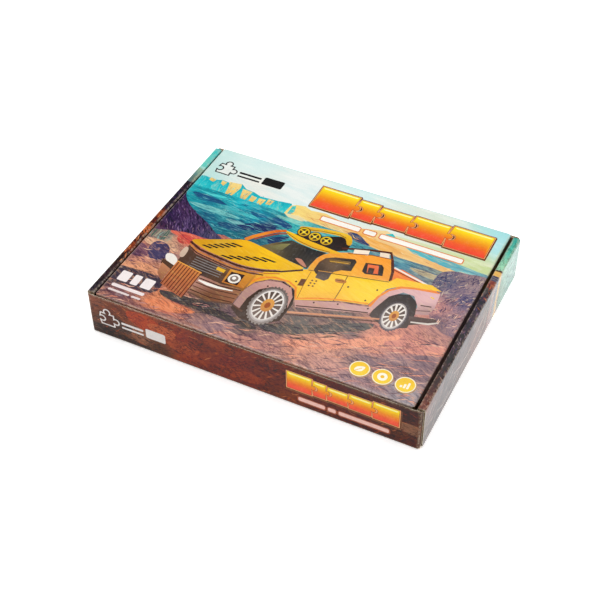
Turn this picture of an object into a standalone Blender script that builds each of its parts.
"""Boxed wooden construction puzzle: a printed micro-corrugated mailer carton, closed, with its kit inside.

The carton is one die-cut blank. Its base, walls and lid are modelled as flat boards that meet at the
creases. The side walls are double: each outer wall rolls over a narrow top strip and comes down as an inner
wall, whose two tabs lock into slots in the base. The front and back walls each fold a corner tab into both
double side walls. The lid turns on the back wall's top crease, and its tuck flap and two ears go inside.
Inside lie eight laser-cut plywood sheets, the booklet, the axle dowels, a wax block and sandpaper.

Units are metres, +Z is up, the front wall faces -Y, and the origin is the centre of the underside.
"""

import math

import bmesh
import bpy
from mathutils import Matrix, Vector

# Driving dimensions of the carton
WIDTH = 0.310
DEPTH = 0.230
HEIGHT = 0.045
BOARD = 0.0015
GAP = 0.0003
STRIP_WIDTH = 0.0068
SIDE_SETBACK = 0.0032
CORNER_TAB_LENGTH = 0.052
LOCK_TAB_LENGTH = 0.038
LOCK_TAB_OFFSET = 0.055
CREASE_ROUND = 0.49 * BOARD

# Lid: the clearance beside it, and its flaps, which lean inward when tucked in
LID_CLEARANCE_LEFT = 0.0012
LID_CLEARANCE_RIGHT = 0.0028
TUCK_SETBACK = 0.0009
TUCK_DEPTH = 0.030
TUCK_LEAN = math.radians(3.0)
TUCK_END_CLEARANCE = 0.004
EAR_DEPTH = 0.025
EAR_LEAN = math.radians(2.0)
EAR_FRONT_Y = -0.098
EAR_BACK_Y = 0.042

# Contents
SHEET_WIDTH = 0.280
SHEET_DEPTH = 0.210
SHEET_THICKNESS = 0.003
SHEET_COUNT = 8
SHEET_CENTRE_Y = 0.002
KERF = 0.0006
NICK = 0.0014
BOOKLET_WIDTH = 0.148
BOOKLET_DEPTH = 0.206
BOOKLET_RIGHT_X = 0.138
COVER_THICKNESS = 0.0003
PAGES_THICKNESS = 0.0012
DOWEL_RADIUS = 0.002
DOWEL_LENGTH = 0.120
DOWEL_COUNT = 4
DOWEL_SIDES = 12
DOWEL_EDGE_INSET = 0.006
DOWEL_SHIFT_Y = 0.030
WAX_SIZE = (0.050, 0.018, 0.008)
WAX_CORNER = (-0.100, -0.092)
WAX_ROUND = 0.0012
SANDPAPER_SIZE = (0.070, 0.050, 0.0006)
SANDPAPER_CORNER = (-0.108, -0.064)

MM = 0.001
NEAR = 1e-6
HALF_WIDTH = WIDTH / 2
HALF_DEPTH = DEPTH / 2
DECK = HEIGHT - BOARD
CREASE_Z = HEIGHT - BOARD / 2
STRIP_INNER_X = HALF_WIDTH - STRIP_WIDTH
FRONT_INNER_Y = -HALF_DEPTH + BOARD
LID_LEFT_X = -STRIP_INNER_X + LID_CLEARANCE_LEFT
LID_RIGHT_X = STRIP_INNER_X - LID_CLEARANCE_RIGHT
LID_FRONT_Y = FRONT_INNER_Y + TUCK_SETBACK
SHEET_PITCH = SHEET_THICKNESS + GAP
STACK_TOP = BOARD + GAP + SHEET_COUNT * SHEET_PITCH

FINISHES = {
    "printed": ((0.34, 0.19, 0.13, 1), 0.22),
    "printed_lid": ((0.75, 0.42, 0.16, 1), 0.20),
    "kraft": ((0.60, 0.46, 0.32, 1), 0.85),
    "plywood": ((0.78, 0.60, 0.38, 1), 0.60),
    "paper": ((0.86, 0.84, 0.79, 1), 0.55),
    "cover": ((0.85, 0.52, 0.16, 1), 0.35),
    "dowel": ((0.82, 0.66, 0.45, 1), 0.65),
    "wax": ((0.93, 0.89, 0.74, 1), 0.45),
    "sandpaper": ((0.42, 0.25, 0.15, 1), 0.95),
}

# Each plane gives the world directions of an outline's first and second coordinate and of its thickness.
PLANES = {
    "XY": Matrix(((1, 0, 0), (0, 1, 0), (0, 0, 1))),
    "XZ": Matrix(((1, 0, 0), (0, 0, -1), (0, 1, 0))),
    "YZ": Matrix(((0, 0, 1), (1, 0, 0), (0, 1, 0))),
}


def clear_scene():
    for obj in list(bpy.data.objects):
        bpy.data.objects.remove(obj, do_unlink=True)


def new_collection(name):
    collection = bpy.data.collections.new(name)
    bpy.context.scene.collection.children.link(collection)
    return collection


def finish(obj, kind):
    """Gives the object its own material of the named finish and puts it in the carton's collection."""
    colour, roughness = FINISHES[kind]
    material = bpy.data.materials.new(f"{obj.name}_{kind}")
    material.use_nodes = True
    shader = material.node_tree.nodes["Principled BSDF"]
    shader.inputs["Base Color"].default_value = colour
    shader.inputs["Roughness"].default_value = roughness
    shader.inputs["Metallic"].default_value = 0.0
    obj.data.materials.append(material)
    PARTS.objects.link(obj)
    return obj


def edges_along(bm, corner):
    """The edges that run along one axis, where corner holds None, at its places on the other two axes."""
    found = []
    for edge in bm.edges:
        places = [[end.co[i] for end in edge.verts] for i in range(3) if corner[i] is not None]
        wanted = [place for place in corner if place is not None]
        if all(abs(a - at) < NEAR and abs(b - at) < NEAR for (a, b), at in zip(places, wanted)):
            found.append(edge)
    return found


def board(name, low, high, kind, rounds=()):
    """A rectangular piece from its low to its high corner.

    Each round is (corner, radius, segments). Its corner gives two coordinates, and None along the edge that is
    rounded, or chamfered with one segment.
    """
    low, high = Vector(low), Vector(high)
    middle = (low + high) / 2
    bm = bmesh.new()
    bmesh.ops.create_cube(bm, size=1.0)
    bmesh.ops.transform(bm, matrix=Matrix.Diagonal((*(high - low), 1)), verts=bm.verts)
    for corner, radius, segments in rounds:
        local = [None if place is None else place - middle[i] for i, place in enumerate(corner)]
        bmesh.ops.bevel(
            bm, geom=edges_along(bm, local), offset=radius, segments=segments, profile=0.5, affect="EDGES"
        )
    mesh = bpy.data.meshes.new(name)
    bm.to_mesh(mesh)
    bm.free()
    obj = bpy.data.objects.new(name, mesh)
    obj.location = middle
    return finish(obj, kind)


def flat_piece(name, outlines, plane, start, thickness, kind):
    """An outline, with the holes that follow it, drawn in a plane and given a thickness from start onward."""
    curve = bpy.data.curves.new(name, "CURVE")
    curve.dimensions = "2D"
    curve.fill_mode = "BOTH"
    curve.extrude = thickness / 2
    for outline in outlines:
        spline = curve.splines.new("POLY")
        spline.points.add(len(outline) - 1)
        for point, (u, v) in zip(spline.points, outline):
            point.co = (u, v, 0, 1)
        spline.use_cyclic_u = True
    rotation = PLANES[plane]
    across = rotation @ Vector((0, 0, 1))
    obj = bpy.data.objects.new(name, curve)
    forward = max(across) > 0.5
    middle = start + thickness / 2
    obj.matrix_world = Matrix.Translation(across * (middle if forward else -middle)) @ rotation.to_4x4()
    return finish(obj, kind)


def rectangle(u0, v0, u1, v1):
    return [(u0, v0), (u1, v0), (u1, v1), (u0, v1)]


def hinge(name, place, parent=None):
    """An empty on a crease. What hangs on it turns about it."""
    empty = bpy.data.objects.new(name, None)
    empty.empty_display_size = 0.02
    PARTS.objects.link(empty)
    empty.location = place
    bpy.context.view_layer.update()
    if parent:
        hang(empty, parent)
    return empty


def hang(obj, parent):
    obj.parent = parent
    obj.matrix_parent_inverse = parent.matrix_world.inverted()
    bpy.context.view_layer.update()


def lean(obj, pivot, axis, angle):
    """Turns a flap about its crease, from hanging straight down to its tucked-in lean."""
    bpy.context.view_layer.update()
    turn = Matrix.Rotation(angle, 4, axis)
    shift = Matrix.Translation(pivot)
    obj.matrix_world = shift @ turn @ shift.inverted() @ obj.matrix_world
    bpy.context.view_layer.update()


# ---------------------------------------------------------------- the carton


def base_panel():
    edge_x = HALF_WIDTH - BOARD - GAP
    edge_y = HALF_DEPTH - BOARD - GAP
    slot_inner = STRIP_INNER_X - GAP
    slot_outer = STRIP_INNER_X + BOARD + GAP
    half_slot = LOCK_TAB_LENGTH / 2 + GAP
    outlines = [rectangle(-edge_x, -edge_y, edge_x, edge_y)]
    for side in (-1, 1):
        for y in (-LOCK_TAB_OFFSET, LOCK_TAB_OFFSET):
            ends = sorted((side * slot_inner, side * slot_outer))
            outlines.append(rectangle(ends[0], y - half_slot, ends[1], y + half_slot))
    flat_piece("base_panel", outlines, "XY", 0, BOARD, "kraft")


def end_wall(name, side):
    """The front (side -1) or back (side 1) wall, its vertical corner creases rounded."""
    half = HALF_WIDTH - BOARD - GAP
    outer = side * HALF_DEPTH
    inner = side * (HALF_DEPTH - BOARD)
    top = HEIGHT if side < 0 else DECK - GAP
    rounds = [((x, outer, None), 2 * CREASE_ROUND, 3) for x in (-half, half)]
    rounds.append(((None, outer, 0), CREASE_ROUND, 2))
    low = (-half, min(outer, inner), 0)
    high = (half, max(outer, inner), top)
    board(name, low, high, "printed", rounds)


def corner_tab(name, side_x, side_y):
    """A flap of the front or back wall, folded into the double side wall against the outer wall."""
    outer = side_x * (HALF_WIDTH - BOARD - GAP)
    inner = outer - side_x * BOARD
    start = side_y * (HALF_DEPTH - BOARD - GAP)
    end = start - side_y * CORNER_TAB_LENGTH
    bottom = BOARD + GAP
    top = DECK - GAP
    chamfer = 0.2 * CORNER_TAB_LENGTH
    low = (min(outer, inner), min(start, end), bottom)
    high = (max(outer, inner), max(start, end), top)
    board(name, low, high, "printed", [((None, end, z), chamfer, 1) for z in (bottom, top)])


def side_wall(name, side):
    """The outer board, the rolled-over top strip and the inner board with its lock tabs, on one side."""
    half_length = HALF_DEPTH - SIDE_SETBACK
    top = DECK - GAP
    relief = 2 * BOARD

    face, back = sorted((side * HALF_WIDTH, side * (HALF_WIDTH - BOARD)))
    rounds = [((None, y, 0), relief, 1) for y in (-half_length, half_length)]
    board(f"{name}_outer_wall", (face, -half_length, 0), (back, half_length, top), "printed", rounds)

    edge, rim = sorted((side * HALF_WIDTH, side * STRIP_INNER_X))
    rounds = [((x, None, HEIGHT), 1.5 * CREASE_ROUND, 3) for x in (edge, rim)]
    board(f"{name}_top_strip", (edge, -half_length, DECK), (rim, half_length, HEIGHT), "printed", rounds)

    reach = HALF_DEPTH - BOARD - GAP
    foot = BOARD + GAP
    outline = [(-reach, top), (-reach, foot)]
    for y in (-LOCK_TAB_OFFSET, LOCK_TAB_OFFSET):
        start, end = y - LOCK_TAB_LENGTH / 2, y + LOCK_TAB_LENGTH / 2
        outline += [(start, foot), (start, GAP), (end, GAP), (end, foot)]
    outline += [(reach, foot), (reach, top)]
    inner = min(side * STRIP_INNER_X, side * (STRIP_INNER_X + BOARD))
    flat_piece(f"{name}_inner_wall", [outline], "YZ", inner, BOARD, "kraft")


def lid(hinge_y):
    """The lid panel between its flap creases, its rounded back edge on the hinge line, with flap and ears."""
    inset = BOARD + GAP
    low = (LID_LEFT_X + inset, LID_FRONT_Y + inset, DECK)
    high = (LID_RIGHT_X - inset, HALF_DEPTH, HEIGHT)
    rounds = [((None, HALF_DEPTH, z), CREASE_ROUND, 3) for z in (DECK, HEIGHT)]
    panel = board("lid_panel", low, high, "printed_lid", rounds)
    lid_hinge = hinge("lid_hinge", (0, hinge_y, CREASE_Z))
    hang(panel, lid_hinge)

    flap_y = LID_FRONT_Y + BOARD / 2
    flap_low = (LID_LEFT_X + TUCK_END_CLEARANCE, LID_FRONT_Y, CREASE_Z - TUCK_DEPTH)
    flap_high = (LID_RIGHT_X - TUCK_END_CLEARANCE, LID_FRONT_Y + BOARD, HEIGHT)
    corner_radius = TUCK_DEPTH / 2
    rounds = [((x, None, flap_low[2]), corner_radius, 5) for x in (flap_low[0], flap_high[0])]
    rounds += [((None, y, HEIGHT), CREASE_ROUND, 3) for y in (flap_low[1], flap_high[1])]
    flap = board("tuck_flap", flap_low, flap_high, "printed_lid", rounds)
    lean(flap, Vector((0, flap_y, CREASE_Z)), "X", TUCK_LEAN)
    flap_hinge = hinge("tuck_flap_crease", (0, flap_y, CREASE_Z), lid_hinge)
    hang(flap, flap_hinge)

    for name, side, outer in (("left_ear", -1, LID_LEFT_X), ("right_ear", 1, LID_RIGHT_X)):
        inner = outer - side * BOARD
        ear_x = (outer + inner) / 2
        bottom = CREASE_Z - EAR_DEPTH
        chamfer = 0.6 * EAR_DEPTH
        low = (min(outer, inner), EAR_FRONT_Y, bottom)
        high = (max(outer, inner), EAR_BACK_Y, HEIGHT)
        rounds = [((None, y, bottom), chamfer, 1) for y in (EAR_FRONT_Y, EAR_BACK_Y)]
        rounds += [((x, None, HEIGHT), CREASE_ROUND, 3) for x in (low[0], high[0])]
        ear = board(name, low, high, "printed_lid", rounds)
        lean(ear, Vector((ear_x, 0, CREASE_Z)), "Y", side * EAR_LEAN)
        ear_hinge = hinge(f"{name}_crease", (ear_x, 0, CREASE_Z), lid_hinge)
        hang(ear, ear_hinge)


# ---------------------------------------------------------------- the plywood sheets


def circle(x, y, radius, sides):
    steps = [2 * math.pi * i / sides for i in range(sides)]
    return [(x + radius * math.cos(a), y + radius * math.sin(a)) for a in steps]


def gear(x, y, radius, teeth):
    """A spur gear's outline: each tooth has two points on the root circle and two on the tip circle."""
    depth = 0.16 * radius
    outline = []
    for tooth in range(teeth):
        for step, r in ((0.0, radius - depth), (0.22, radius), (0.5, radius), (0.72, radius - depth)):
            angle = 2 * math.pi * (tooth + step) / teeth
            outline.append((x + r * math.cos(angle), y + r * math.sin(angle)))
    return outline


def block(x, y, width, height):
    return rectangle(x - width / 2, y - height / 2, x + width / 2, y + height / 2)


def rail(x, y, width, height, notches):
    """A long bar with evenly spaced notches in its upper edge, as for slotted cross members."""
    left, right = x - width / 2, x + width / 2
    bottom, top = y - height / 2, y + height / 2
    outline = [(left, bottom), (right, bottom), (right, top)]
    notch, depth = 3 * MM, 0.45 * height
    for i in range(notches, 0, -1):
        centre = left + width * i / (notches + 1)
        outline += [(centre + notch / 2, top), (centre + notch / 2, top - depth)]
        outline += [(centre - notch / 2, top - depth), (centre - notch / 2, top)]
    return outline + [(left, top)]


def truck_side(x, y, length, height):
    """The side of a plain pickup body, from its lower left corner: wheel arches, load bed, cab and bonnet."""
    u, v = length, height
    sill = y + 0.1 * v
    outline = [(x, sill)]
    for hub in (0.21, 0.79):
        for step in range(5):
            angle = math.pi * (1 - step / 4)
            outline.append((x + (hub + 0.085 * math.cos(angle)) * u, sill + 0.085 * u * math.sin(angle)))
    outline += [(x + u, sill), (x + u, y + 0.62 * v), (x + 0.66 * u, y + 0.62 * v), (x + 0.62 * u, y + v)]
    outline += [(x + 0.39 * u, y + v), (x + 0.29 * u, y + 0.64 * v), (x + 0.03 * u, y + 0.56 * v)]
    return outline


def door(x, y, width, height):
    """A cab door with its slanted window corner."""
    left, bottom = x - width / 2, y - height / 2
    return [
        (left, bottom),
        (left + width, bottom),
        (left + width, bottom + height),
        (left + 0.35 * width, bottom + height),
        (left, bottom + 0.55 * height),
    ]


def point_along(outline, lengths, distance):
    """The point of a closed outline at a distance along it from its first point."""
    for i, length in enumerate(lengths):
        if distance <= length:
            start, end = Vector(outline[i]), Vector(outline[(i + 1) % len(outline)])
            return start.lerp(end, distance / length)
        distance -= length
    return Vector(outline[0])


def kerf_slots(outline, nicks):
    """The cut along a closed outline as thin slots, broken by nicks that hold the part in its sheet."""
    count = len(outline)
    lengths = [math.dist(outline[i], outline[(i + 1) % count]) for i in range(count)]
    total = sum(lengths)
    corners = [sum((lengths * 2)[:i]) for i in range(2 * count)]
    first = lengths[0] / 2
    slots = []
    for k in range(nicks):
        start = first + total * k / nicks + NICK / 2
        end = first + total * (k + 1) / nicks - NICK / 2
        stops = [start] + [c for c in corners if start + KERF < c < end - KERF] + [end]
        path = [point_along(outline, lengths, stop % total) for stop in stops]
        slots.append(widened(path, KERF / 2))
    return slots


def widened(path, half):
    """A thin closed outline along an open path, half to each side, with mitred corners."""
    directions = [(b - a).normalized() for a, b in zip(path, path[1:])]
    left, right = [], []
    for i, point in enumerate(path):
        before = directions[max(i - 1, 0)]
        after = directions[min(i, len(directions) - 1)]
        normal = Vector((-before.y - after.y, before.x + after.x)).normalized()
        mitre = half / max(normal.dot(Vector((-after.y, after.x))), 0.35)
        left.append(tuple(point + normal * mitre))
        right.append(tuple(point - normal * mitre))
    return left + right[::-1]


def spread(count, width):
    """Places, evenly spaced and centred on zero, for a row of equal parts across a width."""
    return [width * ((i + 0.5) / count - 0.5) for i in range(count)]


def chassis_parts():
    parts = [(rail(0, y * MM, 0.262, 0.018, 3), 4) for y in (-88, -62, 62, 88)]
    parts += [(block(x, y * MM, 0.054, 0.022), 2) for y in (-28, 0, 28) for x in spread(4, 0.262)]
    return parts


def body_side_parts():
    parts = [(truck_side(-0.125, y * MM, 0.250, 0.080), 5) for y in (-98, 6)]
    return parts + [(block(x, y * MM, 0.044, 0.010), 2) for y in (-6, 95) for x in spread(4, 0.240)]


def bed_parts():
    parts = [(block(x * MM, -0.050, 0.120, 0.090), 4) for x in (-67, 67)]
    return parts + [(rail(x, y * MM, 0.080, 0.040, 1), 2) for y in (32, 78) for x in spread(3, 0.268)]


def frame_parts():
    return [(rail(x, y, 0.080, 0.054, 1), 2) for y in spread(3, 0.200) for x in spread(3, 0.268)]


def wheel_parts():
    parts = []
    for y in spread(3, 0.204):
        for x in spread(4, 0.272):
            parts.append((circle(x, y, 0.030, 10), 2))
    return parts


def cab_parts():
    parts = [(door(x, y * MM, 0.058, 0.072), 2) for y in (-58, 26) for x in spread(4, 0.268)]
    return parts + [(block(x, 0.084, 0.040, 0.024), 2) for x in spread(4, 0.268)]


def trim_parts():
    parts = [(rail(0, y * MM, 0.250, 0.022, 3), 4) for y in (-88, 86)]
    return parts + [(block(x, y, 0.058, 0.052), 2) for y in spread(2, 0.130) for x in spread(4, 0.268)]


def mixed_parts():
    """The top sheet, which lies in sight: wheels, gears, doors, a body side and small plates."""
    parts = [(truck_side(-0.132, 0.028, 0.120, 0.046), 4)]
    parts += [(circle(x * MM, -0.076, 0.024, 18), 3) for x in (-112, -58, -4)]
    parts += [(circle(x * MM, -0.076, 0.009, 8), 2) for x in (-112, -58, -4)]
    parts += [(gear(-0.112, -0.020, 0.022, 12), 3), (gear(-0.064, -0.024, 0.017, 10), 3)]
    parts += [(circle(-0.112, -0.020, 0.005, 8), 1), (circle(-0.064, -0.024, 0.004, 8), 1)]
    parts += [(rail(-0.076, y * MM, 0.112, 0.012, 4), 3) for y in (83, 97)]
    parts += [(block(-0.030, y * MM, 0.022, 0.015), 2) for y in (-36, -16)]
    parts += [(door(x * MM, y * MM, 0.044, 0.056), 3) for x in (14, 64, 114) for y in (2, 70)]
    parts += [(block(x * MM, -0.068, 0.044, 0.054), 2) for x in (54, 106)]
    return parts


def plywood_sheets():
    layouts = (
        chassis_parts,
        body_side_parts,
        bed_parts,
        frame_parts,
        wheel_parts,
        cab_parts,
        trim_parts,
        mixed_parts,
    )
    for i, layout in enumerate(layouts):
        outlines = [block(0, 0, SHEET_WIDTH, SHEET_DEPTH)]
        for outline, nicks in layout():
            outlines += kerf_slots(outline, nicks)
        start = BOARD + GAP + i * SHEET_PITCH
        sheet = flat_piece(f"plywood_sheet_{i + 1}", outlines, "XY", start, SHEET_THICKNESS, "plywood")
        sheet.location.y = SHEET_CENTRE_Y


# ---------------------------------------------------------------- the other contents


def booklet():
    """A saddle-stitched booklet: one folded cover, its spine to the left, round a block of pages."""
    left, right = BOOKLET_RIGHT_X - BOOKLET_WIDTH, BOOKLET_RIGHT_X
    front = SHEET_CENTRE_Y - BOOKLET_DEPTH / 2
    bottom = STACK_TOP
    inner_low = bottom + COVER_THICKNESS
    inner_high = inner_low + PAGES_THICKNESS + 2 * GAP
    top = inner_high + COVER_THICKNESS
    spine = left + COVER_THICKNESS
    outline = [(left, bottom), (right, bottom), (right, inner_low), (spine, inner_low)]
    outline += [(spine, inner_high), (right, inner_high), (right, top), (left, top)]
    flat_piece("booklet_cover", [outline], "XZ", front, BOOKLET_DEPTH, "cover")
    low = (spine + GAP, front + GAP, inner_low + GAP)
    high = (right - GAP, front + BOOKLET_DEPTH - GAP, inner_high - GAP)
    board("booklet_pages", low, high, "paper")


def axle_dowels():
    for i in range(DOWEL_COUNT):
        bpy.ops.mesh.primitive_cylinder_add(vertices=DOWEL_SIDES, radius=DOWEL_RADIUS, depth=DOWEL_LENGTH)
        dowel = bpy.context.active_object
        dowel.name = f"axle_dowel_{i + 1}"
        dowel.data.name = dowel.name
        for collection in list(dowel.users_collection):
            collection.objects.unlink(dowel)
        dowel.rotation_euler = (math.pi / 2, math.pi / DOWEL_SIDES, 0)
        x = -SHEET_WIDTH / 2 + DOWEL_EDGE_INSET + i * (2 * DOWEL_RADIUS + 3 * GAP)
        dowel.location = (x, SHEET_CENTRE_Y + DOWEL_SHIFT_Y, STACK_TOP + DOWEL_RADIUS)
        dowel.data.shade_smooth()
        dowel.data.set_sharp_from_angle(angle=math.radians(40))
        finish(dowel, "dowel")


def small_supplies():
    low = Vector((*WAX_CORNER, STACK_TOP))
    high = low + Vector(WAX_SIZE)
    rounds = [((x, y, None), WAX_ROUND, 2) for x in (low.x, high.x) for y in (low.y, high.y)]
    board("wax_block", low, high, "wax", rounds)
    low = Vector((*SANDPAPER_CORNER, STACK_TOP))
    board("sandpaper", low, low + Vector(SANDPAPER_SIZE), "sandpaper")


clear_scene()
PARTS = new_collection("boxed_wooden_puzzle")

base_panel()
end_wall("front_wall", -1)
end_wall("back_wall", 1)
for side_name, side_sign in (("left", -1), ("right", 1)):
    side_wall(side_name, side_sign)
    corner_tab(f"front_{side_name}_corner_tab", side_sign, -1)
    corner_tab(f"back_{side_name}_corner_tab", side_sign, 1)
lid(HALF_DEPTH - BOARD / 2)
plywood_sheets()
booklet()
axle_dowels()
small_supplies()
